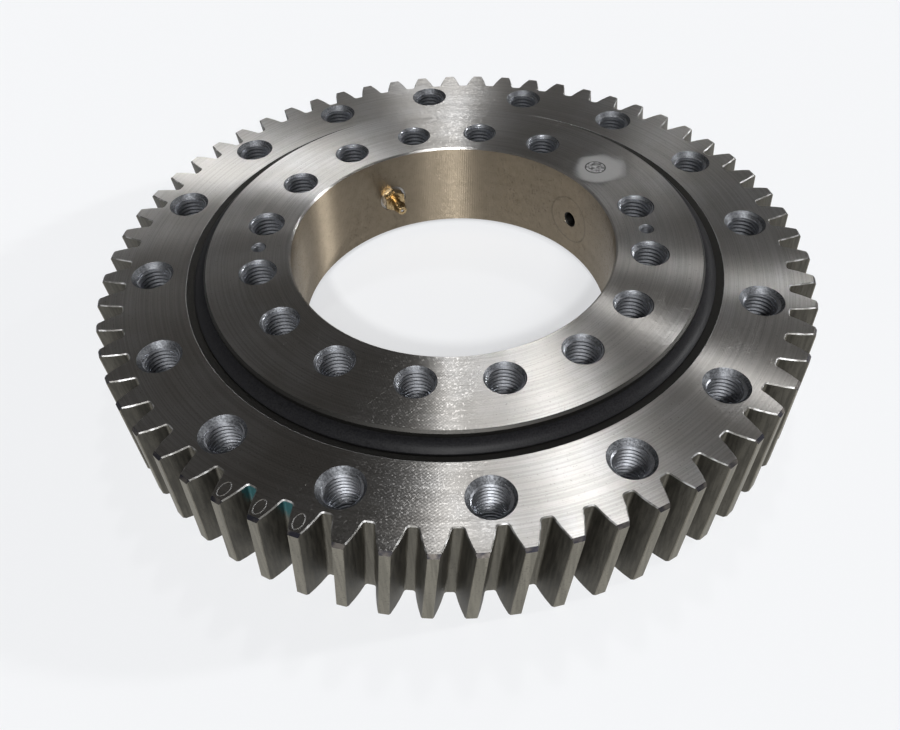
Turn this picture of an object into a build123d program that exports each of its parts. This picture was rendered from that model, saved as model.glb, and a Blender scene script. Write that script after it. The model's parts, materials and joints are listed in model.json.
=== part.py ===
from build123d import *
from math import acos, ceil, cos, degrees, floor, pi, radians, sin, tan
import os

# Slewing ring: one row of balls in four point contact, with helical teeth on the outer ring.
# Lengths are in millimetres. The ring's axis is Z and the origin lies on it, in the gear
# ring's bottom face. Angles are in degrees from +X, seen from above. The inner ring stands
# proud at the top, so that what is bolted to it turns clear of the gear ring.

# Radial build-up, from the bore outwards
bore_radius = 72.5
inner_bolt_wall = 14.5
inner_race_wall = 26.0
outer_race_wall = 22.0
tooth_rim_wall = 11.0

# Heights: the inner ring stands proud at the top and is set back at the bottom
gear_ring_height = 45.0
inner_ring_lift = 6.0
inner_ring_set_back = 6.0
ball_plane_shift = 1.0

# Teeth: full depth involute measured in the ring's plane, leaning at the helix angle of a
# wheel that a worm drives. Their edges are broken along the whole profile, more at the top.
tooth_module = 5.0
pressure_angle = 20.0
helix_angle = 5.7
addendum_factor = 1.0
dedendum_factor = 1.25
tooth_angle = 6.04
tooth_root_fillet = 1.2
upper_edge_break = 0.45
lower_edge_break = 0.2
edge_break_angle = 45.0
tip_chamfer = 1.3

# Row of balls between the gothic grooves of the two rings
ball_diameter = 20.0
ball_angle = 34.68
groove_conformity = 0.525
contact_angle = 45.0
ball_play = 0.2
race_gap = 1.6
spacer_diameter = 15.0
spacer_length = 9.0
spacer_web = 3.4
spacer_play = 0.15

# Seals, and the seats that the rings have for them
seal_gap = 5.0
seal_seat_depth = 4.7
seal_heel_depth = 2.3
seal_heel_height = 2.8
seal_heel_flare = 0.3
seal_heel_drop = 0.4
seal_crown = 2.9
seal_crown_middle = 0.75
seal_lip_reach = 0.3
seal_lip_height = 0.6
seal_lip_play = 0.35
seal_fit_gap = 0.04
lip_bevel_width = 4.0
lip_bevel_angle = 15.0

# Turned edges of the rings
ring_edge_chamfer = 1.0
bore_top_chamfer = 0.8

# Tapped holes, drawn at the thread's nominal diameter
countersink_angle = 90.0
bolt_thread_diameter = 16.0
outer_bolt_count = 16
outer_bolt_angle = 3.59
outer_countersink_diameter = 18.6
inner_slot_count = 16
plug_slot_angle = 33.75
inner_countersink_diameter = 16.8
jack_thread_diameter = 6.0
jack_countersink_diameter = 6.7
jack_hole_depth = 18.0
jack_slots_before_plug = 1.5

# Plug that closes the hole through which the balls go in, and the pin that locks it
plug_margin = 4.5
plug_turn = 0.9
plug_fit_gap = 0.02
plug_thread_core_diameter = 6.8
plug_thread_depth = 9.0
plug_thread_chamfer = 0.6
pin_diameter = 9.0
pin_taper_per_mm = 0.01
pin_past_plug = 2.0
pin_fit_gap = 0.02

# Grease nipple in the bore, measured along its own axis from its spot face
nipple_slots_after_plug = 3.5
nipple_turn = 1.55
grease_passage_diameter = 4.0
spot_face_diameter = 14.0
spot_face_depth = 0.7
nipple_thread_diameter = 8.0
nipple_thread_length = 7.0
nipple_thread_gap = 0.03
nipple_hex_width = 10.0
nipple_hex_height = 4.0
nipple_shoulder_diameter = 7.0
nipple_shoulder_height = 1.0
nipple_neck_diameter = 4.8
nipple_neck_length = 3.0
nipple_head_diameter = 6.5
nipple_head_length = 5.0
nipple_head_flare = 1.3
nipple_tip_diameter = 4.4
nipple_bore_diameter = 3.0
nipple_inlet_diameter = 1.8
nipple_mouth_depth = 0.4
check_ball_diameter = 2.6
check_ball_play = 0.05
spring_wire_diameter = 0.4
spring_side_play = 0.15
spring_turns = 7

# Three ovals stamped side by side on the teeth
stamp_count = 3
stamp_first_tooth = 39
stamp_length = 6.8
stamp_width = 4.4
stamp_line = 0.5
stamp_depth = 0.3
stamp_turn = -0.15
stamp_inset = 0.5

# How far a cutting tool runs past a face
overrun = 1.0

# Places that follow from the sizes above
inner_bolt_radius = bore_radius + inner_bolt_wall
ball_circle_radius = inner_bolt_radius + inner_race_wall
outer_bolt_radius = ball_circle_radius + outer_race_wall
tooth_count = ceil(2 * (outer_bolt_radius + tooth_rim_wall) / tooth_module + 2 * dedendum_factor)
pitch_radius = tooth_module * tooth_count / 2
tip_radius = pitch_radius + addendum_factor * tooth_module
root_radius = pitch_radius - dedendum_factor * tooth_module

inner_top = gear_ring_height + inner_ring_lift
inner_bottom = inner_ring_set_back
ball_plane_z = (gear_ring_height + inner_bottom) / 2 + ball_plane_shift
ball_radius = ball_diameter / 2
ball_count = floor(2 * pi * ball_circle_radius / (ball_diameter + spacer_web))
ball_pitch_angle = 360 / ball_count

bolt_radius = bolt_thread_diameter / 2
inner_slot_pitch = 360 / inner_slot_count
plug_radius = (ball_diameter + plug_margin) / 2
plug_angle = plug_slot_angle + plug_turn
nipple_angle = plug_slot_angle + nipple_slots_after_plug * inner_slot_pitch + nipple_turn
jack_angle = plug_slot_angle - jack_slots_before_plug * inner_slot_pitch


def involute(angle):
    """Return the involute function of an angle in radians."""
    return tan(angle) - angle


def gap_point(radius, side):
    """Return the point of a tooth gap's flank at a radius, for a gap centred on +X.

    The flank is the involute of the base circle, and the gap is as wide as the tooth on
    the pitch circle.
    """
    base_radius = pitch_radius * cos(radians(pressure_angle))
    local_angle = acos(min(1.0, base_radius / radius))
    half_tooth = pi / (2 * tooth_count) + involute(radians(pressure_angle)) - involute(local_angle)
    half_gap = pi / tooth_count - half_tooth
    return (radius * cos(half_gap), side * radius * sin(half_gap))


def tooth_plane(height):
    """Return the plane at a height, turned as far as the teeth have leaned down to it."""
    lean = (height - gear_ring_height) * tan(radians(helix_angle)) / pitch_radius
    return Plane.XY.offset(height).rotated((0, 0, degrees(lean)))


def race_side(side, up, end_face, carry_plane, lip_plane):
    """Return the (r, z) points of a ring's side that faces the other ring.

    side is -1 for the inner ring and 1 for the gear ring. up is the direction in which
    the ring's seal crowns. end_face is the ring's own face at the end that carries a
    seal, carry_plane the other ring's face there, and lip_plane the ring's own face at
    the end where the other ring's seal has its lip.
    """
    wall = ball_circle_radius + side * seal_gap / 2
    land = ball_circle_radius + side * race_gap / 2
    step = seal_seat_depth + (seal_gap - race_gap) / 2
    heel = wall + side * seal_heel_depth
    heel_plane = carry_plane - up * seal_heel_drop
    mouth = seal_heel_height / 2
    root = mouth + seal_heel_flare
    bevel_drop = lip_bevel_width * tan(radians(lip_bevel_angle))
    return [
        (wall + side * ring_edge_chamfer, end_face),
        (wall, end_face - up * ring_edge_chamfer),
        (wall, heel_plane + up * mouth),
        (heel, heel_plane + up * root),
        (heel, heel_plane - up * root),
        (wall, heel_plane - up * mouth),
        (wall, carry_plane - up * seal_seat_depth),
        (land, carry_plane - up * step),
        (land, lip_plane + up * step),
        (wall, lip_plane + up * seal_seat_depth),
        (wall, lip_plane + up * bevel_drop),
        (wall + side * lip_bevel_width, lip_plane),
    ]


def seal_outline(side, up, carry_plane):
    """Draw a lip seal's section: a heel in its groove and a crowned lip over the gap."""
    wall = ball_circle_radius + side * (seal_gap / 2 - seal_fit_gap)
    heel = ball_circle_radius + side * (seal_gap / 2 + seal_heel_depth - seal_fit_gap)
    heel_plane = carry_plane - up * seal_heel_drop
    mouth = seal_heel_height / 2 - seal_fit_gap
    root = mouth + seal_heel_flare
    tip = ball_circle_radius - side * (seal_gap / 2 + seal_lip_reach)
    slope = tan(radians(lip_bevel_angle))
    lip_bottom = carry_plane - up * ((lip_bevel_width - seal_lip_reach) * slope - seal_lip_play)
    lip_top = lip_bottom + up * seal_lip_height
    crown = carry_plane + up * seal_crown
    crown_middle = carry_plane + up * seal_crown * seal_crown_middle
    middle = (wall + tip) / 2
    ThreePointArc((wall, crown), (middle, crown_middle), (tip, lip_top))
    Line((tip, lip_top), (tip, lip_bottom))
    ThreePointArc(
        (tip, lip_bottom),
        (middle, carry_plane - up * seal_heel_drop),
        (wall, heel_plane - up * mouth),
    )
    Polyline(
        (wall, heel_plane - up * mouth),
        (heel, heel_plane - up * root),
        (heel, heel_plane + up * root),
        (wall, heel_plane + up * mouth),
        (wall, crown),
    )


def radial_plane(angle, radius):
    """Return the plane at a radius in the balls' plane, its normal pointing outwards."""
    out = (cos(radians(angle)), sin(radians(angle)), 0)
    return Plane(origin=(radius * out[0], radius * out[1], ball_plane_z), x_dir=(0, 0, 1), z_dir=out)


os.makedirs("parts", exist_ok=True)

# Space of the two grooves: where four circles overlap, one for each of the ball's contacts
groove_radius = groove_conformity * ball_diameter
groove_shift = groove_radius - ball_radius - ball_play
shift_r = groove_shift * cos(radians(contact_angle))
shift_z = groove_shift * sin(radians(contact_angle))

with BuildPart() as race_space:
    with BuildSketch(Plane.XZ):
        with Locations((ball_circle_radius - shift_r, ball_plane_z - shift_z)):
            Circle(groove_radius)
        with Locations((ball_circle_radius - shift_r, ball_plane_z + shift_z)):
            Circle(groove_radius, mode=Mode.INTERSECT)
        with Locations((ball_circle_radius + shift_r, ball_plane_z - shift_z)):
            Circle(groove_radius, mode=Mode.INTERSECT)
        with Locations((ball_circle_radius + shift_r, ball_plane_z + shift_z)):
            Circle(groove_radius, mode=Mode.INTERSECT)
    revolve(axis=Axis.Z)

# Space between two teeth, with the broken edges at both faces
with BuildSketch() as gap_section:
    with BuildLine():
        left_flank = ThreePointArc(
            gap_point(root_radius, 1), gap_point(pitch_radius, 1), gap_point(tip_radius + overrun, 1)
        )
        right_flank = ThreePointArc(
            gap_point(root_radius, -1), gap_point(pitch_radius, -1), gap_point(tip_radius + overrun, -1)
        )
        ThreePointArc(left_flank @ 0, (root_radius, 0), right_flank @ 0)
        Line(left_flank @ 1, right_flank @ 1)
    make_face()
    fillet(gap_section.vertices().group_by(Axis.X)[0], tooth_root_fillet)

lower_break = tooth_plane(lower_edge_break)
upper_break = tooth_plane(gear_ring_height - upper_edge_break)

with BuildPart() as gap_flare:
    with BuildSketch():
        add(gap_section.sketch)
    extrude(amount=upper_edge_break + overrun, taper=-edge_break_angle)

with BuildPart() as tooth_gap:
    with BuildSketch(lower_break, upper_break):
        add(gap_section.sketch)
    loft(ruled=True)
    add(gap_flare.part.moved((-lower_break).location))
    add(gap_flare.part.moved(upper_break.location))

# Gear ring: turned blank, groove, bolt holes, then the teeth and the stamps on three of them
with BuildPart() as gear_ring:
    with BuildSketch(Plane.XZ):
        with BuildLine():
            Polyline(
                *race_side(1, -1, 0, inner_bottom, gear_ring_height),
                (tip_radius - tip_chamfer, gear_ring_height),
                (tip_radius, gear_ring_height - tip_chamfer),
                (tip_radius, tip_chamfer),
                (tip_radius - tip_chamfer, 0),
                close=True,
            )
        make_face()
    revolve(axis=Axis.Z)
    add(race_space.part, mode=Mode.SUBTRACT)
    for face_plane in (Plane.XY.offset(gear_ring_height), -Plane.XY):
        with Locations(face_plane):
            turn = outer_bolt_angle * face_plane.z_dir.Z
            with PolarLocations(outer_bolt_radius, outer_bolt_count, start_angle=turn):
                CounterSinkHole(
                    bolt_radius,
                    outer_countersink_diameter / 2,
                    counter_sink_angle=countersink_angle,
                )
    with PolarLocations(0, tooth_count, start_angle=tooth_angle + 180 / tooth_count):
        add(tooth_gap.part, mode=Mode.SUBTRACT)
    first_stamp = tooth_angle + stamp_first_tooth * 360 / tooth_count + stamp_turn
    stamp_range = stamp_count * 360 / tooth_count
    with BuildSketch(Plane.XY.offset(gear_ring_height)):
        with PolarLocations(pitch_radius - stamp_inset, stamp_count, first_stamp, stamp_range):
            Ellipse(stamp_length / 2, stamp_width / 2)
            Ellipse(stamp_length / 2 - stamp_line, stamp_width / 2 - stamp_line, mode=Mode.SUBTRACT)
    extrude(amount=-stamp_depth, mode=Mode.SUBTRACT)
gear_ring.part.label = "gear_ring"
export_step(gear_ring.part, "parts/gear_ring.step")

# Inner ring: turned blank and groove, then every hole that is bored into it
plug_length = ball_circle_radius - bore_radius
pin_bottom_z = ball_plane_z - plug_radius - pin_past_plug
pin_length = inner_top - pin_bottom_z
pin_end_radius = pin_diameter / 2 - pin_taper_per_mm * pin_length
plug_bore_plane = radial_plane(plug_angle, bore_radius - overrun)
nipple_plane = radial_plane(nipple_angle, bore_radius + spot_face_depth)

with BuildPart() as pin_hole:
    with BuildSketch(Plane.XZ):
        with BuildLine():
            Polyline(
                (0, pin_bottom_z),
                (pin_end_radius + pin_fit_gap, pin_bottom_z),
                (pin_diameter / 2 + pin_fit_gap, inner_top),
                (pin_diameter / 2 + pin_fit_gap, inner_top + overrun),
                (0, inner_top + overrun),
                close=True,
            )
        make_face()
    revolve(axis=Axis.Z)

with BuildPart() as inner_ring:
    with BuildSketch(Plane.XZ):
        with BuildLine():
            Polyline(
                *race_side(-1, 1, inner_top, gear_ring_height, inner_bottom),
                (bore_radius + ring_edge_chamfer, inner_bottom),
                (bore_radius, inner_bottom + ring_edge_chamfer),
                (bore_radius, inner_top - bore_top_chamfer),
                (bore_radius + bore_top_chamfer, inner_top),
                close=True,
            )
        make_face()
    revolve(axis=Axis.Z)
    add(race_space.part, mode=Mode.SUBTRACT)
    for face_plane in (Plane.XY.offset(inner_top), -Plane.XY.offset(inner_bottom)):
        with Locations(face_plane):
            turn = (plug_slot_angle + inner_slot_pitch) * face_plane.z_dir.Z
            span = (360 - inner_slot_pitch) * face_plane.z_dir.Z
            with PolarLocations(inner_bolt_radius, inner_slot_count - 1, turn, span):
                CounterSinkHole(
                    bolt_radius,
                    inner_countersink_diameter / 2,
                    counter_sink_angle=countersink_angle,
                )
    with Locations(Plane.XY.offset(inner_top)):
        with PolarLocations(inner_bolt_radius, 2, start_angle=jack_angle):
            CounterSinkHole(
                jack_thread_diameter / 2,
                jack_countersink_diameter / 2,
                jack_hole_depth,
                countersink_angle,
            )
        with PolarLocations(inner_bolt_radius, 1, start_angle=plug_angle):
            add(pin_hole.part.moved(Location((0, 0, -inner_top))), mode=Mode.SUBTRACT)
    with BuildSketch(plug_bore_plane):
        Circle(plug_radius)
    extrude(amount=plug_length + overrun, mode=Mode.SUBTRACT)
    with BuildSketch(nipple_plane):
        Circle(spot_face_diameter / 2)
    extrude(amount=-spot_face_depth - overrun, mode=Mode.SUBTRACT)
    with BuildSketch(nipple_plane):
        Circle(nipple_thread_diameter / 2)
    extrude(amount=nipple_thread_length + overrun, mode=Mode.SUBTRACT)
    with BuildSketch(nipple_plane):
        Circle(grease_passage_diameter / 2)
    extrude(amount=plug_length, mode=Mode.SUBTRACT)
inner_ring.part.label = "inner_ring"
export_step(inner_ring.part, "parts/inner_ring.step")

# Loading plug: turned and grooved in place, so its two ends continue the bore and the race
with BuildPart() as plug_band:
    with BuildSketch():
        Circle(ball_circle_radius - race_gap / 2)
        Circle(bore_radius, mode=Mode.SUBTRACT)
    extrude(amount=inner_top)

with BuildPart() as loading_plug:
    with BuildSketch(plug_bore_plane):
        Circle(plug_radius - plug_fit_gap)
    extrude(amount=plug_length + overrun)
    add(plug_band.part, mode=Mode.INTERSECT)
    add(race_space.part, mode=Mode.SUBTRACT)
    with Locations(-radial_plane(plug_angle, bore_radius)):
        CounterSinkHole(
            plug_thread_core_diameter / 2,
            plug_thread_core_diameter / 2 + plug_thread_chamfer,
            plug_thread_depth,
            countersink_angle,
        )
    with PolarLocations(inner_bolt_radius, 1, start_angle=plug_angle):
        add(pin_hole.part, mode=Mode.SUBTRACT)
loading_plug.part.label = "loading_plug"
export_step(loading_plug.part, "parts/loading_plug.step")

# Taper pin, driven in from the top until it is flush
with BuildPart() as plug_pin:
    with PolarLocations(inner_bolt_radius, 1, start_angle=plug_angle):
        with Locations((0, 0, pin_bottom_z)):
            Cone(
                pin_end_radius,
                pin_diameter / 2,
                pin_length,
                align=(Align.CENTER, Align.CENTER, Align.MIN),
            )
plug_pin.part.label = "plug_pin"
export_step(plug_pin.part, "parts/plug_pin.step")

# Lip seals: the upper one in the inner ring, the lower one in the gear ring
with BuildPart() as upper_seal:
    with BuildSketch(Plane.XZ):
        with BuildLine():
            seal_outline(-1, 1, gear_ring_height)
        make_face()
    revolve(axis=Axis.Z)
upper_seal.part.label = "upper_seal"
export_step(upper_seal.part, "parts/upper_seal.step")

with BuildPart() as lower_seal:
    with BuildSketch(Plane.XZ):
        with BuildLine():
            seal_outline(1, -1, inner_bottom)
        make_face()
    revolve(axis=Axis.Z)
lower_seal.part.label = "lower_seal"
export_step(lower_seal.part, "parts/lower_seal.step")

# Balls, each a piece of its own
for number in range(1, ball_count + 1):
    with BuildPart(Plane.XY.offset(ball_plane_z)) as ball:
        with PolarLocations(ball_circle_radius, 1, ball_angle + (number - 1) * ball_pitch_angle):
            Sphere(ball_radius)
    ball.part.label = f"ball_{number:02d}"
    export_step(ball.part, f"parts/{ball.part.label}.step")

# Spacers: short rods halfway between the balls, with a hollow seat for the ball at each end
spacer_circle_radius = ball_circle_radius * cos(radians(ball_pitch_angle / 2))

with BuildPart(Plane.XY.offset(ball_plane_z)) as ball_spacers:
    with PolarLocations(spacer_circle_radius, ball_count, ball_angle + ball_pitch_angle / 2):
        Cylinder(spacer_diameter / 2, spacer_length, rotation=(90, 0, 0))
    with PolarLocations(ball_circle_radius, ball_count, ball_angle):
        Sphere(ball_radius + spacer_play, mode=Mode.SUBTRACT)
ball_spacers.part.label = "ball_spacers"
export_step(ball_spacers.part, "parts/ball_spacers.step")

# Grease nipple: turned body with a hexagon, bored through, its mouth narrowed over the ball
neck_start = nipple_hex_height + nipple_shoulder_height
head_start = neck_start + nipple_neck_length
nipple_length = head_start + nipple_head_length
mouth_start = nipple_length - nipple_mouth_depth
ball_seat_drop = ((check_ball_diameter / 2) ** 2 - (nipple_inlet_diameter / 2) ** 2) ** 0.5
check_ball_centre = mouth_start - ball_seat_drop - check_ball_play
spring_end = check_ball_centre - check_ball_diameter / 2 - check_ball_play
bore_length = mouth_start - nipple_hex_height / 2
turned_plane = -nipple_plane

with BuildPart(turned_plane) as grease_nipple:
    with BuildSketch(Plane(turned_plane.origin, x_dir=turned_plane.x_dir, z_dir=turned_plane.y_dir)):
        with BuildLine():
            Polyline(
                (0, nipple_thread_length),
                (nipple_thread_diameter / 2 - nipple_thread_gap, nipple_thread_length),
                (nipple_thread_diameter / 2 - nipple_thread_gap, 0),
                (nipple_hex_width / 2, 0),
                (nipple_hex_width / 2, -nipple_hex_height),
                (nipple_shoulder_diameter / 2, -nipple_hex_height),
                (nipple_shoulder_diameter / 2, -neck_start),
                (nipple_neck_diameter / 2, -neck_start),
                (nipple_neck_diameter / 2, -head_start),
                (nipple_head_diameter / 2, -head_start - nipple_head_flare),
                (nipple_tip_diameter / 2, -nipple_length),
                (0, -nipple_length),
                close=True,
            )
        make_face()
    revolve(axis=Axis(turned_plane.origin, turned_plane.z_dir))
    with BuildSketch(turned_plane):
        RegularPolygon(nipple_hex_width / 2, 6, major_radius=False)
    extrude(amount=nipple_hex_height)
    with BuildSketch(turned_plane.offset(mouth_start)):
        Circle(nipple_bore_diameter / 2)
    extrude(amount=-bore_length, mode=Mode.SUBTRACT)
    with BuildSketch(turned_plane.offset(nipple_length)):
        Circle(nipple_inlet_diameter / 2)
    extrude(amount=-nipple_length - nipple_thread_length, mode=Mode.SUBTRACT)
grease_nipple.part.label = "grease_nipple"
export_step(grease_nipple.part, "parts/grease_nipple.step")

with BuildPart(turned_plane.offset(check_ball_centre)) as nipple_check_ball:
    Sphere(check_ball_diameter / 2)
nipple_check_ball.part.label = "nipple_check_ball"
export_step(nipple_check_ball.part, "parts/nipple_check_ball.step")

# Coil spring between the nipple's inner shoulder and its ball
spring_radius = (nipple_bore_diameter - spring_wire_diameter) / 2 - spring_side_play
spring_start_plane = turned_plane.offset(mouth_start - bore_length + spring_wire_diameter)
spring_height = spring_end - mouth_start + bore_length - 2 * spring_wire_diameter

with BuildPart() as nipple_spring:
    with BuildLine():
        spring_line = Helix(
            spring_height / spring_turns,
            spring_height,
            spring_radius,
            center=spring_start_plane.origin,
            direction=spring_start_plane.z_dir,
        )
    with BuildSketch(Plane(origin=spring_line @ 0, z_dir=spring_line % 0)):
        Circle(spring_wire_diameter / 2)
    sweep(path=spring_line, is_frenet=True)
nipple_spring.part.label = "nipple_spring"
export_step(nipple_spring.part, "parts/nipple_spring.step")

print("teeth", tooth_count, "balls", ball_count, "tip radius", tip_radius)
print("ball plane", ball_plane_z, "inner ring from", inner_bottom, "to", inner_top)
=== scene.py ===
# %% [markdown]
# # A slewing ring in turned steel
#
# A slewing ring is a large, flat ball bearing whose outer ring is also a gear wheel. The solids
# of the rings, balls, seals and nipple come ready from CAD. This notebook gives them their
# finish, cuts the threads into the bolt holes, winds the nipple's spring, and sets up the
# camera and the studio.
#
# Lengths in this file are millimetres wherever a name ends in `_mm`, and metres elsewhere,
# because Blender works in metres. The ring's axis is Z, and angles are counted in degrees from
# +X, seen from above.

import json

import bmesh
import bpy
import numpy as np
from mathutils import Matrix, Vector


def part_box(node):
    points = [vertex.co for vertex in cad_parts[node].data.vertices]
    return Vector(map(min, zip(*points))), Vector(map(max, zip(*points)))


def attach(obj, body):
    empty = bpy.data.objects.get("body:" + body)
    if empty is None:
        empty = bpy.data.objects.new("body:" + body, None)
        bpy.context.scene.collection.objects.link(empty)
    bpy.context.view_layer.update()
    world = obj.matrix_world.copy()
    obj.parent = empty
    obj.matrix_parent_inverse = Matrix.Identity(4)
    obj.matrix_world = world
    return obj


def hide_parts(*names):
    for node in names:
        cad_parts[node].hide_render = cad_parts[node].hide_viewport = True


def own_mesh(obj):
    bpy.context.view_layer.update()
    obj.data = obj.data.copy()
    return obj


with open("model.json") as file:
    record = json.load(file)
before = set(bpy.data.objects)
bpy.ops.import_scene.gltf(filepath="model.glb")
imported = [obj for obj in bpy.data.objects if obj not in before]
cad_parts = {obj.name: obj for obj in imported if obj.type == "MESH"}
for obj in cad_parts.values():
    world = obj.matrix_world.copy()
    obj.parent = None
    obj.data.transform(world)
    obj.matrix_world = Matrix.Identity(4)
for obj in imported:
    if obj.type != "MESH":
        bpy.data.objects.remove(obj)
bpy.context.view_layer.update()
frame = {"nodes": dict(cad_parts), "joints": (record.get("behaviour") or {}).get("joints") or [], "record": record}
nodes = frame["nodes"]
bpy.context.scene.view_settings.view_transform = "Standard"

# %% [markdown]
# ## The sizes this notebook works from
#
# The finishes follow the geometry: a countersink is rough because a drill cut it, and a face is
# circularly brushed because it was turned. So the materials need to know where holes, faces and
# teeth lie. These could be typed in by hand, but then they would stay behind when the solids
# change. Most are read from the solids' boxes and from the places where the ring is bolted.

# %% Sizes
mounts = {mount["name"]: mount for mount in frame["record"]["mounts"]}


def mount_angle(name):
    """The angle in degrees from +X at which a mount lies: the arctangent of its y over its x."""
    x, y, _ = mounts[name]["pos_m"]
    return float(np.degrees(np.arctan2(y, x)))


gear_top_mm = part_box("gear_ring")[1].z * 1000
inner_top_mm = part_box("inner_ring")[1].z * 1000
inner_bottom_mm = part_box("inner_ring")[0].z * 1000
tip_radius_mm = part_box("gear_ring")[1].x * 1000
tooth_depth_mm = 11.25
root_radius_mm = tip_radius_mm - tooth_depth_mm
bore_radius_mm = 72.5
gap_radius_mm = 113.0
hole_count = 16
outer_bolts = {"radius_mm": mounts["outer_bolt_circle"]["dims"]["pcd_mm"] / 2, "angle": 3.59}
inner_bolts = {"radius_mm": mounts["inner_jack_pair"]["dims"]["pcd_mm"] / 2, "angle": 33.75}
plug_angle = mount_angle("plug_extraction_thread")
plug_low, plug_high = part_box("loading_plug")
plug_radius_mm = (plug_high.z - plug_low.z) * 500
plug_height_mm = (plug_high.z + plug_low.z) * 500
print("gear ring up to", gear_top_mm, "inner ring up to", inner_top_mm, "tip radius", tip_radius_mm)

# %% [markdown]
# ## Camera
#
# The photograph's viewpoint was worked out from the ellipses of the ring's faces: a close, fairly
# wide lens looking down at about 43 degrees. Three axes and a position say it exactly, and they
# go into the camera's matrix as its columns.

# %% Camera
view_right = (0.9988579, -0.032921, -0.0346282)
view_up = (0.0476885, 0.7316812, 0.6799768)
view_back = (0.0029513, -0.6808515, 0.7324155)
view_point = (-0.0026957, -0.2970178, 0.28716)

camera = bpy.data.objects.new("camera", bpy.data.cameras.new("camera"))
camera.data.lens = 33.49
camera.data.sensor_width = 36.0
camera.data.clip_start = 0.01
columns = np.array([view_right, view_up, view_back, view_point]).T
camera.matrix_world = Matrix(columns.tolist() + [[0, 0, 0, 1]])
bpy.context.scene.collection.objects.link(camera)
bpy.context.scene.camera = camera
print("camera looks from", view_point)

# %% [markdown]
# ## Shader maths as Python
#
# A finish here is a formula: how rough, how dark, how bumpy the steel is at each point. Node by
# node that is hundreds of lines. A small class lets a socket be added, multiplied and compared
# like a number, and each operation adds the Math node that does it.

# %% Sockets that calculate
class Flow:
    """A socket of a material. Sums, products and comparisons on it add Math nodes."""

    def __init__(self, tree, socket=None):
        self.tree = tree
        self.socket = socket

    def node(self, kind, settings=None, sockets=None, out=0):
        """Add a node of that kind: first its settings, then its sockets' values or links."""
        made = self.tree.nodes.new(kind)
        for name, value in (settings or {}).items():
            if name == "stops":
                ramp = made.color_ramp.elements
                while len(ramp) < len(value):
                    ramp.new(0.5)
                for stop, (place, colour) in zip(ramp, value):
                    stop.position = place
                    stop.color = (*colour, 1.0)
            else:
                setattr(made, name, value)
        for name, value in (sockets or {}).items():
            if isinstance(value, Flow):
                self.tree.links.new(value.socket, made.inputs[name])
            else:
                made.inputs[name].default_value = value
        return Flow(self.tree, made.outputs[out])

    def maths(self, operation, *values):
        """Add a Math node on these values."""
        return self.node("ShaderNodeMath", {"operation": operation}, dict(enumerate(values)))

    def __add__(self, other):
        return self.maths("ADD", self, other)

    def __sub__(self, other):
        return self.maths("SUBTRACT", self, other)

    def __rsub__(self, other):
        return self.maths("SUBTRACT", other, self)

    def __mul__(self, other):
        return self.maths("MULTIPLY", self, other)

    def __truediv__(self, other):
        return self.maths("DIVIDE", self, other)

    def __gt__(self, other):
        return self.maths("GREATER_THAN", self, other)

    def __lt__(self, other):
        return self.maths("LESS_THAN", self, other)

    __radd__ = __add__
    __rmul__ = __mul__

    def power(self, exponent):
        """The value to a power."""
        return self.maths("POWER", self, exponent)

    def rise(self, low, high):
        """0 at low, 1 at high, a smooth step between them, and flat beyond them."""
        settings = {"interpolation_type": "SMOOTHSTEP"}
        values = {"Value": self, "From Min": low, "From Max": high}
        return self.node("ShaderNodeMapRange", settings, values)

    def larger(self, other):
        """The larger of two values, which joins two masks."""
        return self.maths("MAXIMUM", self, other)

    def size(self):
        """The value without its sign."""
        return self.maths("ABSOLUTE", self)

    def span(self, other):
        """The length of a vector whose two components these are."""
        return (self * self + other * other).power(0.5)


print("shader maths ready")

# %% [markdown]
# Colours need a Mix node, because a Math node turns a colour grey. Mix keeps separate sockets for
# numbers, vectors and colours under the same names, so the colour ones are picked by their type.

# %% Mixing colours
def blend(factor, low, high):
    """The colour low where factor is 0, high where it is 1, and their weighted sum between."""
    made = factor.tree.nodes.new("ShaderNodeMix")
    made.data_type = "RGBA"
    factor.tree.links.new(factor.socket, made.inputs["Factor"])
    for name, colour in (("A", low), ("B", high)):
        socket = next(s for s in made.inputs if s.name == name and s.type == "RGBA")
        if isinstance(colour, Flow):
            factor.tree.links.new(colour.socket, socket)
        else:
            socket.default_value = (*colour, 1.0)
    return Flow(factor.tree, next(s for s in made.outputs if s.type == "RGBA"))


print("colours mix by a factor")

# %% [markdown]
# ## Places on the ring
#
# Every finish starts from the same questions about a point: how far is it from the axis, at what
# angle, how high, and which way does its surface face? The helper below answers them once per
# material. Distances come out in millimetres, so that the numbers in a finish can be compared
# with a drawing.

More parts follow.
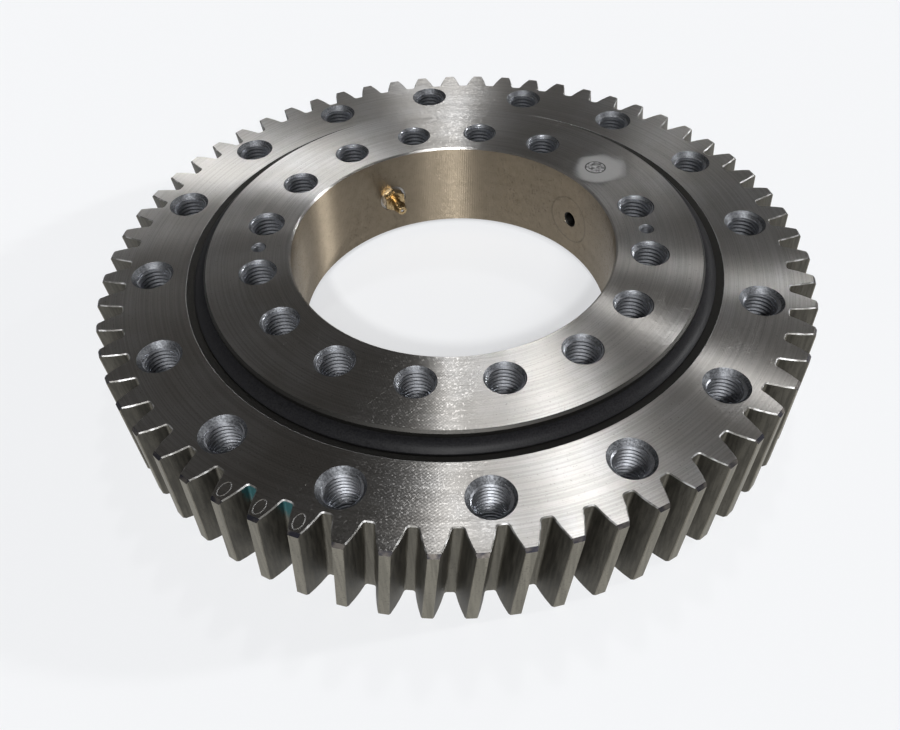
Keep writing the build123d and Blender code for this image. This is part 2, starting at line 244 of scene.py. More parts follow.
# %% Places
class Place:
    """Where a shaded point lies on the ring: radius, angle, height and facing."""

    def __init__(self, tree):
        start = Flow(tree)
        self.point = start.node("ShaderNodeTexCoord", out=3)
        self.x = self.axis(self.point, 0) * 1000.0
        self.y = self.axis(self.point, 1) * 1000.0
        self.z = self.axis(self.point, 2) * 1000.0
        self.radius = self.x.span(self.y)
        self.angle = self.x.maths("ARCTAN2", self.y, self.x)
        self.up = self.axis(start.node("ShaderNodeNewGeometry", out=1), 2)

    def axis(self, vector, number):
        """One component of a vector."""
        return vector.node("ShaderNodeSeparateXYZ", None, {"Vector": vector}, out=number)

    def noise(self, x, y, z, detail=3.0, roughness=0.55):
        """Noise between 0 and 1 at the point (x, y, z), which changes over about one unit."""
        vector = self.x.node("ShaderNodeCombineXYZ", None, {"X": x, "Y": y, "Z": z})
        values = {"Vector": vector, "Scale": 1.0, "Detail": detail, "Roughness": roughness}
        return self.x.node("ShaderNodeTexNoise", None, values)

    def grain(self, size_mm, detail=3.0, roughness=0.55, seed=0.0):
        """Noise that is the same in all directions, with lumps of size_mm."""
        scale = 1.0 / size_mm
        return self.noise(self.x * scale + seed, self.y * scale, self.z * scale, detail, roughness)

    def turning(self, across_mm, along_mm, detail=3.0, seed=0.0):
        """Noise drawn out round the axis, as a lathe's grooves are.

        Its first two coordinates are the direction from the axis, so it closes on itself after a
        turn. The third is the radius plus the height, which changes across every turned face.
        """
        circle = gap_radius_mm / along_mm
        cosine, sine = self.x / self.radius * circle, self.y / self.radius * circle
        across = (self.radius + self.z) * (1.0 / across_mm) + seed
        return self.noise(cosine, sine, across, detail)

    def hole_distance(self, bolts):
        """Distance from the nearest bolt hole's axis, for holes evenly spaced on a circle.

        The angle is folded into one step of the pattern, and the rest is the length of the
        vector from the hole's centre.
        """
        step = 2 * np.pi / hole_count
        turned = self.angle - (np.radians(bolts["angle"]) - step / 2)
        local = turned.maths("FLOORED_MODULO", turned, step) - step / 2
        along = self.radius * local.maths("COSINE", local) - bolts["radius_mm"]
        across = self.radius * local.maths("SINE", local)
        return along.span(across)

    def spot(self, angle, radius_mm):
        """The two distances from a spot given by angle and radius: outwards and round."""
        cosine, sine = np.cos(np.radians(angle)), np.sin(np.radians(angle))
        outwards = self.x * cosine + self.y * sine - radius_mm
        round_ring = self.y * cosine - self.x * sine
        return outwards, round_ring


print("places ready")

# %% [markdown]
# A finish is written into the sockets of a Principled shader. Two of them are needed on the rings:
# turned faces shine in streaks, and everything that was milled, drilled or filed doesn't. A Mix
# Shader shows the second where a mask is 1.

# %% Writing a finish
def new_material(name):
    """Make a material and return it with its Principled shader and its Place."""
    material = bpy.data.materials.new(name)
    material.use_nodes = True
    return material, material.node_tree.nodes["Principled BSDF"], Place(material.node_tree)


def wire(shader, **sockets):
    """Set or link the shader's sockets by name, with _ standing for a space."""
    for name, value in sockets.items():
        target = shader.inputs[name.replace("_", " ")]
        if isinstance(value, Flow):
            value.tree.links.new(value.socket, target)
        elif isinstance(value, tuple):
            target.default_value = (*value, 1.0)
        else:
            target.default_value = value


def second_finish(material, mask):
    """Add another Principled shader that takes over where the mask is 1, and return it."""
    tree = material.node_tree
    over = tree.nodes.new("ShaderNodeBsdfPrincipled")
    mixer = tree.nodes.new("ShaderNodeMixShader")
    tree.links.new(mask.socket, mixer.inputs[0])
    tree.links.new(tree.nodes["Principled BSDF"].outputs[0], mixer.inputs[1])
    tree.links.new(over.outputs[0], mixer.inputs[2])
    tree.links.new(mixer.outputs[0], tree.nodes["Material Output"].inputs["Surface"])
    return over


def relief(height, distance_mm):
    """A Normal made from a height field whose full range is distance_mm deep."""
    return height.node("ShaderNodeBump", None, {"Height": height, "Distance": distance_mm / 1000.0})


print("finishes can be written")

# %% [markdown]
# ## Floor
#
# The photograph's background is nearly white, with a faint soft shadow under the ring. A white
# floor in plain light would show every lamp's shadow hard. So the floor is partly a surface that
# takes light and shadow, and partly a plain glow, which only the camera and mirror-like surfaces
# see. It adds no light to the object.

# %% Floor
floor_reach = 20.0
floor_glow_share = 0.66
corners = floor_reach * np.array([(-1, -1, 0), (1, -1, 0), (1, 1, 0), (-1, 1, 0)], float)
floor_mesh = bpy.data.meshes.new("floor")
floor_mesh.from_pydata(corners.tolist(), [], [(0, 1, 2, 3)])
floor = bpy.data.objects.new("floor", floor_mesh)
bpy.context.scene.collection.objects.link(floor)


def seen_rays(tree):
    """1 for rays from the camera and for mirrored or refracted ones, and 0 for the rest."""
    camera_ray, glossy_ray, clear_ray = (
        Flow(tree).node("ShaderNodeLightPath", out=number) for number in (0, 3, 6)
    )
    return camera_ray.larger(clear_ray.larger(glossy_ray))


floor_paint, floor_shader, _ = new_material("pale_floor")
wire(floor_shader, Base_Color=(0.73, 0.74, 0.75), Roughness=0.95, Specular_IOR_Level=0.0)
glowing = second_finish(floor_paint, seen_rays(floor_paint.node_tree) * floor_glow_share)
wire(glowing, Base_Color=(0.0, 0.0, 0.0), Specular_IOR_Level=0.0)
wire(glowing, Emission_Color=(0.915, 0.925, 0.945), Emission_Strength=1.0)
floor_mesh.materials.append(floor_paint)
print("floor laid")

# %% [markdown]
# ## Sky and lamps
#
# Turned steel is a mirror with fine circular grooves, so it shows a small lamp as two bright
# sectors that meet at the axis, one towards the lamp's side and one away from it. Everything
# else in it is the room. A room that is pale low down and dark overhead leaves dark steel
# between the sectors. The sky is a ramp over the height of the ray's direction, and it darkens
# towards the back, as a room does whose far wall gets little light.

# %% Sky
sky_stops = [
    (0.0, (0.48, 0.49, 0.5)),
    (0.1, (0.6, 0.61, 0.62)),
    (0.25, (0.42, 0.42, 0.42)),
    (0.5, (0.15, 0.143, 0.136)),
    (0.8, (0.045, 0.041, 0.038)),
    (1.0, (0.01, 0.009, 0.008)),
]
world = bpy.data.worlds.new("studio")
bpy.context.scene.world = world
world.use_nodes = True
direction = Flow(world.node_tree).node("ShaderNodeTexCoord", out=0)
backward, height = (
    direction.node("ShaderNodeSeparateXYZ", None, {"Vector": direction}, out=number)
    for number in (1, 2)
)
sky = height.node("ShaderNodeValToRGB", {"stops": sky_stops}, {"Fac": height})
back_wall = (0.02, 0.02, 0.02)
back_wall_share = 0.5
sky = blend(backward.rise(0.0, 0.7) * back_wall_share, sky, back_wall)
world.node_tree.links.new(sky.socket, world.node_tree.nodes["Background"].inputs["Color"])
print("sky stops:", len(sky_stops))

# %% [markdown]
# A lamp's two sectors lie on the line where the lamp's direction and the viewer's, added up and
# seen from above, point. That gives each lamp its azimuth. Two lamps stand over the camera and
# make the bright sectors at the front and the back. Two low ones at the right make the pair from
# the left back to the right front, and two weak ones at the back make the streaks at the far
# left and right. A lamp's spread is how wide it looks, and with it how soft its sectors' edges
# and its shadows are.

# %% Lamps
def sun(name, azimuth, elevation, strength, spread):
    """A far lamp in that direction, seen as a disc spread degrees across."""
    lamp = bpy.data.lights.new(name, "SUN")
    lamp.energy = strength
    lamp.angle = np.radians(spread)
    holder = bpy.data.objects.new(name, lamp)
    holder.rotation_euler = (0.0, np.radians(90 - elevation), np.radians(azimuth))
    bpy.context.scene.collection.objects.link(holder)


sun("lamp_over_camera_left", 264.8, 41.8, 2.3, 4.0)
sun("lamp_over_camera_right", 281.3, 45.5, 1.6, 15.0)
sun("lamp_right", 8.2, 20.0, 1.5, 3.0)
sun("lamp_right_back", 39.2, 20.0, 0.26, 2.0)
sun("lamp_back_low", 73.0, 32.0, 0.03, 3.0)
sun("lamp_back_high", 75.6, 55.2, 0.4, 4.0)

# %% [markdown]
# ## Turned steel
#
# The flat faces, the bore and the bevels of both rings were turned on a lathe. The tool leaves
# fine circular grooves, and years in the stores leave scratches, specks and a thin brown film.
# Grooves that go round the axis make the shine narrow along them and wide across them. That is
# an anisotropic shine, and Blender's own tangent already circles the axis, so two constants are
# enough: how strong it is, and a quarter turn that lays its wide side across the grooves.
#
# Noise drawn out round the axis makes the grooves visible. A fine relief of specks, flecks, feed
# marks and scratches breaks up the edges of the sectors into grains, as the real steel does.

# %% Turned steel
turned_roughness = 0.335
quarter_turn = 0.25
chatter_count = 480.0
feed_mm = 1.4
turned_relief_mm = 0.018


def turned_steel(place, shader, seed):
    """Write turned steel into a shader and return its colour.

    Feed marks are the product of two sine waves, one round the ring and one outwards. All other
    marks are noise, cut off below a level where they are to stand alone.
    """
    groove = place.turning(0.55, 60.0, detail=2.0, seed=seed)
    wide_groove = place.turning(3.0, 160.0, detail=1.0, seed=seed + 7.0)
    film = place.grain(30.0, detail=4.0, seed=seed)
    speck = place.grain(1.0, detail=3.0, roughness=0.7, seed=seed)
    pit = speck.rise(0.58, 0.66) * film.rise(0.3, 0.6)
    fleck = place.grain(0.9, detail=2.0, roughness=0.6, seed=seed + 11.0).rise(0.58, 0.68)
    slant = place.x + place.y
    scratch = place.noise(slant * 0.03, (place.x - place.y) * 0.9, seed, detail=2.0)
    scratch = scratch.rise(0.66, 0.72)
    colour = blend(film.rise(0.35, 0.7), (0.47, 0.455, 0.435), (0.55, 0.545, 0.54))
    colour = blend(groove.rise(0.62, 0.35) * 0.35, colour, (0.26, 0.25, 0.235))
    colour = blend(speck.rise(0.4, 0.3) * 0.6, colour, (0.16, 0.145, 0.13))
    round_ring = place.angle * chatter_count
    outwards = place.radius * (2 * np.pi / feed_mm)
    chatter = round_ring.maths("SINE", round_ring) * outwards.maths("SINE", outwards)
    rough = turned_roughness + (wide_groove - 0.5) * 0.08 + pit * 0.3 + fleck * 0.2
    height = speck * 0.35 + pit * 0.25 + groove * 0.3
    height = height + chatter * 0.35 + scratch * 0.4 + fleck * 0.2
    wire(shader, Base_Color=colour, Metallic=1.0, Roughness=rough)
    wire(shader, Normal=relief(height, turned_relief_mm))
    wire(shader, Anisotropic=1.0, Anisotropic_Rotation=quarter_turn)
    return colour


print("turned steel ready")

# %% [markdown]
# ## The gear ring's finishes
#
# One piece of steel, but many finishes. Its top was turned. The teeth were milled, and carry a
# matte olive film of cutting oil. Light and shade are painted on them as well: the tips and
# roots, which face outwards, are painted paler as lit, and the flanks darker as shaded. Their
# colour is streaked along the tooth and mottled, and two of them keep a trace of teal paint.
#
# Faces could be picked by number and given materials of their own. But numbers change when a
# solid is made again, so each finish finds its place by radius, height and facing instead.

# %% Tooth colour
# Painted light and shade: the flanks' darker pair is painted as shaded, the tips' and roots' paler pair as lit.
shaded_flank_dark, shaded_flank_mid = (0.07, 0.066, 0.056), (0.12, 0.113, 0.095)
lit_tip_dark, lit_tip_pale = (0.17, 0.16, 0.13), (0.25, 0.235, 0.195)
paint_angles = (239.3, 245.3)
paint_reach_mm = 4.0
teal_paint = (0.045, 0.15, 0.16)


def tooth_colour(place, streak, mottle):
    """Olive steel with painted shade on the flanks, painted light on the tips and roots, and paint round two
    spots.

    The paint is a disc whose edge wanders with the mottling, and it fades out down the tooth.
    """
    flank = blend(streak.rise(0.3, 0.7), shaded_flank_dark, shaded_flank_mid)
    outer = blend(streak.rise(0.3, 0.7), lit_tip_dark, lit_tip_pale)
    # Tips and roots take the paler colour, painted as lit; flanks keep the darker one, painted as shaded.
    colour = blend(place.radius > tip_radius_mm - 0.4, flank, outer)
    colour = blend((place.radius < root_radius_mm + 0.8) * 0.5, colour, outer)
    colour = blend(mottle.rise(0.55, 0.72) * 0.5, colour, (0.06, 0.055, 0.045))
    for angle in paint_angles:
        outwards, round_ring = place.spot(angle, root_radius_mm + 1.5)
        reach = outwards.span(round_ring) + (mottle - 0.5) * 2.0
        painted = 1.0 - reach.rise(paint_reach_mm - 1.0, paint_reach_mm)
        painted = painted * place.z.rise(gear_top_mm - 14.0, gear_top_mm - 6.0)
        colour = blend(painted, colour, teal_paint)
    return colour


print("painted teeth:", len(paint_angles))

# %% [markdown]
# Along the teeth's top edges runs a narrow slope, filed by hand, with highlights painted on it in
# bright patches. At their tips a wider chamfer is painted dark, black to brown in blotches. The
# cones of the countersinks are a mottled grey, which the drill left. A shader that brightens
# every edge would treat them all alike. The solid has real chamfers, so a mask on slope, radius
# and height tells them apart.

# %% Edges and countersinks
filed_mm = 0.6
tip_chamfer_mm = 1.32
outer_sink_radius_mm = 9.32
# The filed slopes' bright patches are painted highlights.
filed_dull, painted_edge_highlight = (0.14, 0.137, 0.13), (0.42, 0.42, 0.42)
# The tip chamfers are painted dark, black to brown in blotches.
chamfer_black, chamfer_brown = (0.02, 0.02, 0.026), (0.09, 0.082, 0.075)


def drilled_colour(mottle):
    """The mottled grey of a drilled countersink."""
    return blend(mottle.rise(0.35, 0.65), (0.06, 0.062, 0.067), (0.14, 0.146, 0.156))


def edge_colour(place, colour, mottle):
    """The colour with filed edges and their painted highlights, darker tip chamfers and countersinks laid over it.
    """
    blotch = place.grain(5.0, detail=2.0, seed=9.0)
    sloping = (place.up > 0.3) * (place.up < 0.9)
    near_top = place.z > gear_top_mm - filed_mm
    filed = sloping * near_top * (place.radius > root_radius_mm - 1.0)
    # Filed slopes: painted highlights in bright patches over duller steel.
    colour = blend(filed, colour, blend(blotch.rise(0.45, 0.65), filed_dull, painted_edge_highlight))
    # Tip chamfers: painted dark.
    chamfer = sloping * (place.radius > tip_radius_mm - tip_chamfer_mm)
    chamfer = chamfer * (place.z > gear_top_mm - tip_chamfer_mm - 0.03)
    colour = blend(chamfer, colour, blend(blotch.rise(0.4, 0.7), chamfer_black, chamfer_brown))
    sink = (place.hole_distance(outer_bolts) < outer_sink_radius_mm) * sloping
    return blend(sink, colour, drilled_colour(mottle))


print("edge colours ready")

# %% [markdown]
# The turned finish holds wherever the surface is level and wide. The second finish takes over
# at all cut faces, at the bottom of the stamped ovals, which are bright, and on the bevel that
# leads down to the seal, which is painted black as the shade of the gap between the rings.
# Height, radius and facing say where each of these is.

# %% Gear ring
stamp_depth_mm = 0.4
seal_bevel_mm = 12.0
# Painted shade: the black of the bevel down to the seal, of the inner ring's rim by the gap and of the plug's
# small hole.
painted_shade_black = (0.035, 0.034, 0.032)
stamp_bright = (0.5, 0.5, 0.5)


def gear_ring_finish():
    """Turned faces, and over them milled teeth, edges, countersinks, stamps and the bevel."""
    material, shader, place = new_material("gear_ring_steel")
    turned_steel(place, shader, 0.0)
    level = place.up.size() > 0.9
    stamp = (place.z > gear_top_mm - stamp_depth_mm) * (place.z < gear_top_mm - 0.02) * level
    cut = (place.radius > gap_radius_mm + 4.0) * (1.0 - level)
    bevel = (place.radius < gap_radius_mm + seal_bevel_mm) * (place.z < gear_top_mm - 0.06)
    rough_steel = second_finish(material, cut.larger(stamp).larger(bevel))
    streak = place.noise(place.x * 0.8, place.y * 0.8, place.z * 0.04)
    mottle = place.grain(0.8, seed=4.0)
    colour = edge_colour(place, tooth_colour(place, streak, mottle), mottle)
    colour = blend(stamp, colour, stamp_bright)
    # The bevel down to the seal is painted black as shade.
    colour = blend(bevel, colour, painted_shade_black)
    wire(rough_steel, Base_Color=colour, Metallic=1.0, Roughness=0.54 + (streak - 0.5) * 0.25)
    wire(rough_steel, Normal=relief(mottle + streak, 0.03))
    return material


gear_ring_steel = gear_ring_finish()
print("gear ring's nodes:", len(gear_ring_steel.node_tree.nodes))

# %% [markdown]
# ## The inner ring's finishes
#
# Its faces are turned as the gear ring's are. The bore was left satin, with an olive film of
# grease. The plug through which the balls went in was bored with the ring, so only a fine dark
# line shows its edge, and its small threaded hole is painted dark inside as shade. Plug and ring
# share one material, so that the bore runs over both without a break. The line is drawn by the
# distance from the plug's axis, because the real joint is finer than a groove could be.

# %% Bore and plug
bore_olive, bore_pale = (0.203, 0.169, 0.12), (0.277, 0.232, 0.175)
plug_line = (0.06, 0.055, 0.045)
plug_hole_reach_mm = 5.0
plug_hole_depth_mm = 10.0


def plug_distance(place):
    """Distance from the plug's axis, and how far outwards of the bore's wall a point lies."""
    outwards, round_ring = place.spot(plug_angle, bore_radius_mm)
    return round_ring.span(place.z - plug_height_mm), outwards


def bore_colour(place, steel, from_plug):
    """The turned steel's colour with the bore's film and the plug's outline laid over it."""
    bore = (place.radius < bore_radius_mm + 0.5) * (place.up < 0.5)
    film = blend(place.grain(4.0, seed=8.0), bore_olive, bore_pale)
    steel = blend(bore, steel, film)
    outline = 1.0 - (from_plug - plug_radius_mm).size().rise(0.1, 0.7)
    return blend(outline * bore * 0.3, steel, plug_line)


print("plug at", round(plug_angle, 2), "degrees, radius", round(plug_radius_mm, 2), "mm")

# %% [markdown]
# Round the pin that locks the plug, a pale patch was ground, whose soft edge wanders. The pin
# itself sits in a dark ring. A painted picture could show the patch, but a distance with noise
# added fades as softly and needs no picture. The second finish holds the patch, the drilled
# countersinks and the ring's rim by the seal, which is painted black as the shade of the gap
# between the rings, as is the plug's small hole.

# %% Inner ring
patch_turn = -1.5
patch_shift_mm = 1.0
patch_solid_mm, patch_faded_mm = 9.5, 14.5
pin_ring_mm = 5.3
rim_width_mm = 6.0
patch_pale = (0.4, 0.395, 0.39)


def ground_patch(place):
    """1 inside the ground patch and 0 outside it, with an edge that wanders with noise."""
    edge = place.grain(7.0, detail=2.0, seed=2.0)
    middle_mm = inner_bolts["radius_mm"] + patch_shift_mm
    outwards, round_ring = place.spot(plug_angle + patch_turn, middle_mm)
    reach = outwards.span(round_ring) + (edge - 0.5) * 6.0
    return (1.0 - reach.rise(patch_solid_mm, patch_faded_mm)) * (place.up > 0.9) * 0.9


def inner_ring_finish():
    """A turned face, a satin bore with an oily film, countersinks and the pin's pale patch."""
    material, shader, place = new_material("inner_ring_steel")
    steel = turned_steel(place, shader, 3.0)
    from_plug, outwards = plug_distance(place)
    wire(shader, Base_Color=bore_colour(place, steel, from_plug))
    flat = place.up > 0.9
    drilled = (place.radius > bore_radius_mm + 5.0) * (1.0 - flat)
    inlet = (outwards > 0.05) * (outwards < plug_hole_depth_mm)
    inlet = inlet * (from_plug < plug_hole_reach_mm)
    patch = ground_patch(place)
    rough_steel = second_finish(material, drilled.larger(patch).larger(inlet))
    mottle = place.grain(0.8, seed=6.0)
    colour = blend(patch, drilled_colour(mottle), patch_pale)
    outwards, round_ring = place.spot(plug_angle, inner_bolts["radius_mm"])
    pin_ring = 1.0 - outwards.span(round_ring).rise(pin_ring_mm - 0.4, pin_ring_mm)
    colour = blend(pin_ring * flat, colour, (0.03, 0.03, 0.03))
    # The rim by the gap and the plug's small hole are painted black as shade.
    rim = place.radius > gap_radius_mm - rim_width_mm
    colour = blend(rim.larger(inlet), colour, painted_shade_black)
    wire(rough_steel, Base_Color=colour, Metallic=1.0, Roughness=0.5 + (mottle - 0.5) * 0.2)
    wire(rough_steel, Normal=relief(mottle, 0.02))
    return material


inner_ring_steel = inner_ring_finish()
print("inner ring's nodes:", len(inner_ring_steel.node_tree.nodes))

# %% [markdown]
# ## The small parts' finishes
#
# Rubber, nylon, brass and ground steel need no map of the ring. Two colours mottled by noise,
# with a fine relief of the same noise, are enough at their size. The seal's rubber is greasy
# and in shade, so it reflects less than a clean plastic would.

# %% Small parts
def plain_finish(name, colours, metallic, rough, lump_mm, depth_mm, shine=0.5):
    """A finish of two colours mottled by noise, with a fine relief."""
    material, shader, place = new_material(name)
    mottle = place.grain(lump_mm)
    wire(shader, Base_Color=blend(mottle.rise(0.3, 0.7), *colours), Metallic=metallic)
    wire(shader, Specular_IOR_Level=shine)
    wire(shader, Roughness=mottle * 0.2 + (rough - 0.1), Normal=relief(mottle, depth_mm))
    return material


rubber = ((0.005, 0.005, 0.006), (0.012, 0.012, 0.013))
polished = ((0.55, 0.55, 0.56), (0.65, 0.65, 0.66))
ivory = ((0.6, 0.58, 0.5), (0.68, 0.66, 0.58))
bright_wire = ((0.4, 0.4, 0.42), (0.5, 0.5, 0.52))
brass = ((0.2, 0.135, 0.055), (0.5, 0.38, 0.22))
ground = ((0.08, 0.08, 0.08), (0.5, 0.5, 0.5))
seal_rubber = plain_finish("seal_rubber", rubber, 0.0, 0.45, 0.6, 0.03, shine=0.1)
ball_steel = plain_finish("ball_steel", polished, 1.0, 0.15, 3.0, 0.002)
spacer_nylon = plain_finish("spacer_nylon", ivory, 0.0, 0.5, 2.0, 0.02)
spring_steel = plain_finish("spring_steel", bright_wire, 1.0, 0.3, 0.3, 0.01)
nipple_brass = plain_finish("nipple_brass", brass, 1.0, 0.3, 0.8, 0.02)
pin_steel = plain_finish("pin_steel", ground, 1.0, 0.45, 1.6, 0.06)
print("materials:", len(bpy.data.materials))

# %% [markdown]
# The threads are bright where the tap cut them. Their mouths are a cone at 45 degrees, which the
# drill left rougher and darker. Two materials would need two pieces or a choice of faces. The
# cone's slope is steeper than the threads' flanks, so one mask is enough.

# %% Threads' finish
def thread_finish():
    """Bright cut steel, with the rougher cone at a thread's mouth told apart by its slope."""
    material, shader, place = new_material("thread_steel")
    mottle = place.grain(0.7)
    colour = blend(mottle.rise(0.3, 0.7), (0.3, 0.312, 0.34), (0.46, 0.476, 0.51))
    cone = (place.up > 0.6) * (place.up < 0.8)
    wire(shader, Base_Color=blend(cone, colour, drilled_colour(mottle)), Metallic=1.0)
    wire(shader, Roughness=0.34 + cone * 0.2, Normal=relief(mottle, 0.006))
    return material


thread_steel = thread_finish()
print("threads' nodes:", len(thread_steel.node_tree.nodes))

# %% [markdown]
# ## Dressing the solids
#
# The solids come with plain materials. Each gets one of the finishes above in its place. Solids
# of one kind share a finish, because noise in Object coordinates differs from place to place
# anyway, so that no two balls look the same.

# %% Dressing the solids
def dress(material, *names):
    """Give CAD solids a material in place of the one they came with."""
    for name in names:
        mesh = nodes[name].data
        mesh.materials.clear()
        mesh.materials.append(material)


balls = [name for name in nodes if name.startswith("ball_") and name != "ball_spacers"]
dress(gear_ring_steel, "gear_ring")
dress(inner_ring_steel, "inner_ring", "loading_plug")
dress(seal_rubber, "upper_seal", "lower_seal")
dress(ball_steel, "nipple_check_ball", *balls)
dress(spacer_nylon, "ball_spacers")
dress(nipple_brass, "grease_nipple")
dress(pin_steel, "plug_pin")
print("dressed solids:", len(nodes), "balls:", len(balls))

# %% [markdown]
# ## Threads in the bolt holes
#
# The solids have plain holes of the thread's full diameter. A thread can be faked with a bump, but
# its crests shine and its grooves are dark because they really stand out, so each hole gets a
# thin threaded sleeve. Its inside is a surface of two parameters, the angle round the hole and
# the place across the thread's profile.

# %% Threaded sleeve
sides = 32
thread_depth_share = 0.5413
thinnest_wall_mm = 0.01
profile_places = np.array([0.0, 0.125, 0.28125, 0.4375, 0.6875, 0.84375])
profile_depths = np.array([1.0, 1.0, 0.5, 0.0, 0.0, 0.5])


def thread_surface(radius_mm, pitch_mm, low_mm, high_mm, mouth_mm):
    """Points of a thread's surface round the origin, as a grid of levels by angles.

    The radius follows the profile across a pitch: it stays at the root for an eighth, rises
    to the crest along a straight flank, stays there for a quarter and falls again. The profile
    climbs one pitch a turn. At each end it is cut back to a 45 degree cone that starts mouth_mm
    wider than the thread.
    """
    core_mm = radius_mm - thread_depth_share * pitch_mm
    turns = int(np.ceil((high_mm - low_mm) / pitch_mm)) + 2
    rise = ((profile_places[None, :] + np.arange(-1, turns)[:, None]) * pitch_mm).ravel()
    angle = np.linspace(0.0, 2 * np.pi, sides + 1)
    z = np.clip(low_mm + rise[:, None] + pitch_mm * angle[None, :] / (2 * np.pi), low_mm, high_mm)
    depth = np.tile(profile_depths, turns + 1)[:, None]
    radius = core_mm + (radius_mm - core_mm) * np.repeat(depth, sides + 1, axis=1)
    radius = np.maximum(radius, radius_mm + mouth_mm - (high_mm + mouth_mm - z))
    radius = np.maximum(radius, radius_mm + mouth_mm - (z + mouth_mm - low_mm))
    radius = np.minimum(radius, radius_mm - thinnest_wall_mm)
    return np.stack([radius * np.cos(angle), radius * np.sin(angle), z], axis=-1)


def tube_surface(radius_mm, low_mm, high_mm):
    """Points of a plain tube round the origin: a ring of points at each of two heights."""
    angle = np.tile(np.linspace(0.0, 2 * np.pi, sides + 1), (2, 1))
    z = np.array([[low_mm], [high_mm]]) * np.ones(sides + 1)
    return np.stack([radius_mm * np.cos(angle), radius_mm * np.sin(angle), z], axis=-1)


print("thread profile points:", len(profile_places))

# %% [markdown]
# A grid of points becomes faces by joining each point with its neighbours. A Solidify modifier
# could give the thread a wall, but the wall's back would be threaded too and cut into the ring.
# So the back is a plain tube. The sleeve is closed when its thread and the tube are joined at
# both ends, and its points at 0 and 360 degrees are welded. Its normals are then turned
# outwards.

# %% From grids to a closed piece
def grid_quads(rows, columns, first):
    """Quads of a grid of points stored row by row, starting at index first."""
    row, column = np.meshgrid(np.arange(rows - 1), np.arange(columns - 1), indexing="ij")
    corner = (first + row * columns + column).ravel()
    return np.stack([corner, corner + 1, corner + columns + 1, corner + columns], axis=-1)


def bridge_quads(lower, upper, columns):
    """Quads between two rows of points that start at the indices lower and upper."""
    step = np.arange(columns - 1)
    return np.stack([lower + step, lower + step + 1, upper + step + 1, upper + step], axis=-1)


def mesh_piece(name, points_mm, quads, material, body, slot, smooth_angle=30.0):
    """Make a closed mesh from points and quads, weld its seams and put it on its body."""
    mesh = bpy.data.meshes.new(name)
    mesh.from_pydata((points_mm / 1000.0).tolist(), [], quads.tolist())
    work = bmesh.new()
    work.from_mesh(mesh)
    bmesh.ops.remove_doubles(work, verts=work.verts, dist=2e-6)
    bmesh.ops.dissolve_degenerate(work, edges=work.edges, dist=1e-6)
    bmesh.ops.recalc_face_normals(work, faces=work.faces)
    work.to_mesh(mesh)
    work.free()
    piece = bpy.data.objects.new(name, mesh)
    bpy.context.scene.collection.objects.link(piece)
    mesh.materials.append(material)
    mesh.shade_smooth()
    mesh.set_sharp_from_angle(angle=np.radians(smooth_angle))
    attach(piece, body)
    print(name, len(mesh.polygons), "faces")
    return piece


# %% [markdown]
# Every hole of a bolt circle has the same sleeve. So its points are worked out once, and adding
# each hole's centre to them gives all the sleeves of a circle as one piece.

# %% Sleeves in their holes
wall_gap_mm = 0.005


def thread_piece(name, holes, thread, span, body):
    """One piece with a threaded sleeve in each hole, given by its angle and radius.

    The span is where the thread starts and ends, and how wide its mouths are. The same sleeve
    is added to each hole's centre.
    """
    low_mm, high_mm, mouth_mm = span
    inside = thread_surface(thread["radius_mm"], thread["pitch_mm"], low_mm, high_mm, mouth_mm)
    rows, columns = inside.shape[:2]
    tube_start = rows * columns
    tube = tube_surface(thread["radius_mm"] - wall_gap_mm, low_mm, high_mm)
    sleeve = np.concatenate([inside.reshape(-1, 3), tube.reshape(-1, 3)])
    quads = np.concatenate([
        grid_quads(rows, columns, 0),
        grid_quads(2, columns, tube_start),
        bridge_quads(0, tube_start, columns),
        bridge_quads(tube_start - columns, tube_start + columns, columns),
    ])
    angle, circle_mm = np.radians(holes[:, 0]), holes[:, 1]
    centre = np.stack([circle_mm * np.cos(angle), circle_mm * np.sin(angle), 0 * angle], axis=-1)
    points = (sleeve[None, :, :] + centre[:, None, :]).reshape(-1, 3)
    first = len(sleeve) * np.arange(len(holes))
    all_quads = (quads[None, :, :] + first[:, None, None]).reshape(-1, 4)
    mesh_piece(name, points, all_quads, thread_steel, body, "ring_steel")


def hole_places(bolts, numbers):
    """Angle and radius of the holes with these numbers, counted from the pattern's start."""
    angle = bolts["angle"] + np.array(numbers) * 360 / hole_count
    return np.stack([angle, np.full(len(angle), bolts["radius_mm"])], axis=-1)


def sink_span(low_mm, high_mm, mouth_mm):
    """Where a thread starts and ends between two faces, and how wide its mouth is."""
    return low_mm + mouth_mm, high_mm - mouth_mm, mouth_mm


print("holes on a circle:", hole_count)

# %% [markdown]
# The big holes are M16, the two small ones for jacking screws M6. The gear ring's holes have wide
# countersinks and the inner ring's narrow ones. The inner ring has no bolt hole where its
# loading plug is, so its count starts at the next place.

# %% All the threads
big_thread = {"radius_mm": 8.0, "pitch_mm": 2.0}
jack_thread = {"radius_mm": 3.0, "pitch_mm": 1.0}
jack_bottom_mm = 32.85
jack_holes = np.array([(angle, inner_bolts["radius_mm"]) for angle in (0.0, 180.0)])
outer_holes = hole_places(outer_bolts, range(hole_count))
inner_holes = hole_places(inner_bolts, range(1, hole_count))
outer_span = sink_span(0.0, gear_top_mm, 1.3)
inner_span = sink_span(inner_bottom_mm, inner_top_mm, 0.4)
jack_span = sink_span(jack_bottom_mm, inner_top_mm, 0.35)
thread_piece("outer_bolt_threads", outer_holes, big_thread, outer_span, "gear_ring_body")
thread_piece("inner_bolt_threads", inner_holes, big_thread, inner_span, "inner_ring_body")
thread_piece("jack_threads", jack_holes, jack_thread, jack_span, "inner_ring_body")

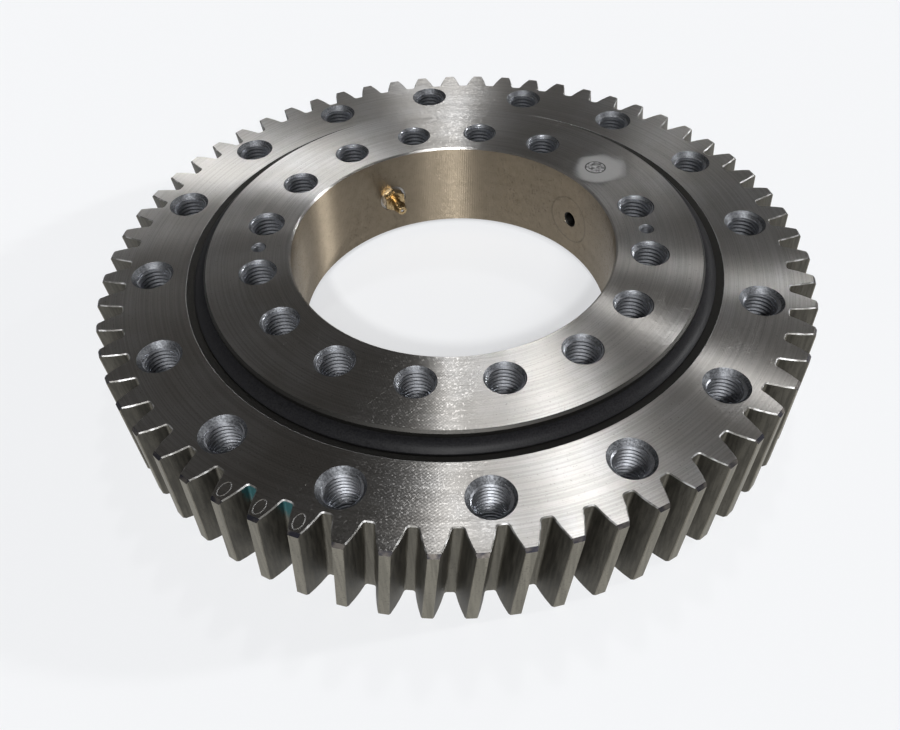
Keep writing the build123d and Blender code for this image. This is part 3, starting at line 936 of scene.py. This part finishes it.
# %% [markdown]
# ## The nipple's spring
#
# A check ball closes the grease nipple's mouth, and a coil spring behind the ball holds it there.
# A grease gun pushes the ball in, and the spring gives way. The solid spring is rigid, so the
# ball would cut into its coils. A mesh in its place could be flattened along the nipple's axis as
# the ball moves. A curve with a round bevel would draw the same wire, but only a mesh could be
# flattened.
# So the wire is worked out as a circle carried along a helix.

# %% Spring's surface
spring_turns = 7
wire_radius_mm = 0.2
coil_radius_mm = 1.15


def spring_surface(low_mm, high_mm):
    """Points of a coil spring round Z, as a grid of places along its wire by angles round it.

    The wire's centre circles the axis and climbs evenly. The wire's outline is a circle spanned
    by two directions: straight out from the axis, and the one square to that and to the wire.
    Its radius is nothing at the first and last place, which closes the ends.
    """
    turn = np.linspace(0.0, 2 * np.pi * spring_turns, 24 * spring_turns + 1)
    turn = np.concatenate([turn[:1], turn, turn[-1:]])[:, None]
    wire = np.full(turn.shape, wire_radius_mm)
    wire[[0, -1]] = 0.0
    climb = (high_mm - low_mm) / (2 * np.pi * spring_turns)
    angle = np.linspace(0.0, 2 * np.pi, 13)[None, :]
    out, aside = wire * np.cos(angle), wire * np.sin(angle) / np.hypot(climb, coil_radius_mm)
    x = (coil_radius_mm + out) * np.cos(turn) + aside * climb * np.sin(turn)
    y = (coil_radius_mm + out) * np.sin(turn) - aside * climb * np.cos(turn)
    z = low_mm + climb * turn + aside * coil_radius_mm
    return np.stack([x, y, z], axis=-1)


print("spring turns:", spring_turns)

# %% [markdown]
# The spring lies along the line on which the check ball slides, and that joint gives its
# direction. Its two ends are read from the solid that it replaces. The ball's centre says where
# the line runs. Taking off the centre's share along the line leaves the line's nearest point to
# the origin, and from there distances along it count.

# %% Spring in its place
slide = next(joint for joint in frame["joints"] if joint["name"] == "check_ball_slide")
slide_axis = np.array(slide["axis"], float)


def reach_along(name, axis):
    """The least and greatest distance in mm that a solid's points reach along an axis."""
    vertices = nodes[name].data.vertices
    places = np.empty(3 * len(vertices))
    vertices.foreach_get("co", places)
    along = places.reshape(-1, 3) @ axis * 1000
    return along.min(), along.max()


spring_low, spring_high = reach_along("nipple_spring", slide_axis)
coil = spring_surface(spring_low + wire_radius_mm, spring_high - wire_radius_mm)
upright = np.array([0.0, 0.0, 1.0])
turned_axes = np.stack([np.cross(upright, slide_axis), upright, slide_axis])
ball_low, ball_high = (np.array(corner) * 1000 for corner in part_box("nipple_check_ball"))
ball_centre = (ball_low + ball_high) / 2
on_axis = ball_centre - slide_axis * (ball_centre @ slide_axis)
coil_points = coil.reshape(-1, 3) @ turned_axes + on_axis
coil_quads = grid_quads(*coil.shape[:2], 0)
looks = (spring_steel, "inner_ring_body", "spring_steel")
spring = mesh_piece("coil_spring", coil_points, coil_quads, *looks)
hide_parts("nipple_spring")

# %% [markdown]
# The ball's travel is the joint's limit. What is left of the spring's length at that limit is
# worked out as a share, and the shoulder at its far end as the point it would be flattened towards.

# %% Spring under load
ball_play_mm = 0.05
length_mm = spring_high - spring_low
travel_mm = slide["range_m"][1] * 1000
kept_share = 1.0 - (travel_mm + ball_play_mm) / length_mm
shoulder = tuple((on_axis + slide_axis * spring_high) / 1000)
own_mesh(spring)
print("spring", round(length_mm, 2), "mm long, pressed to a share of", round(kept_share, 2))
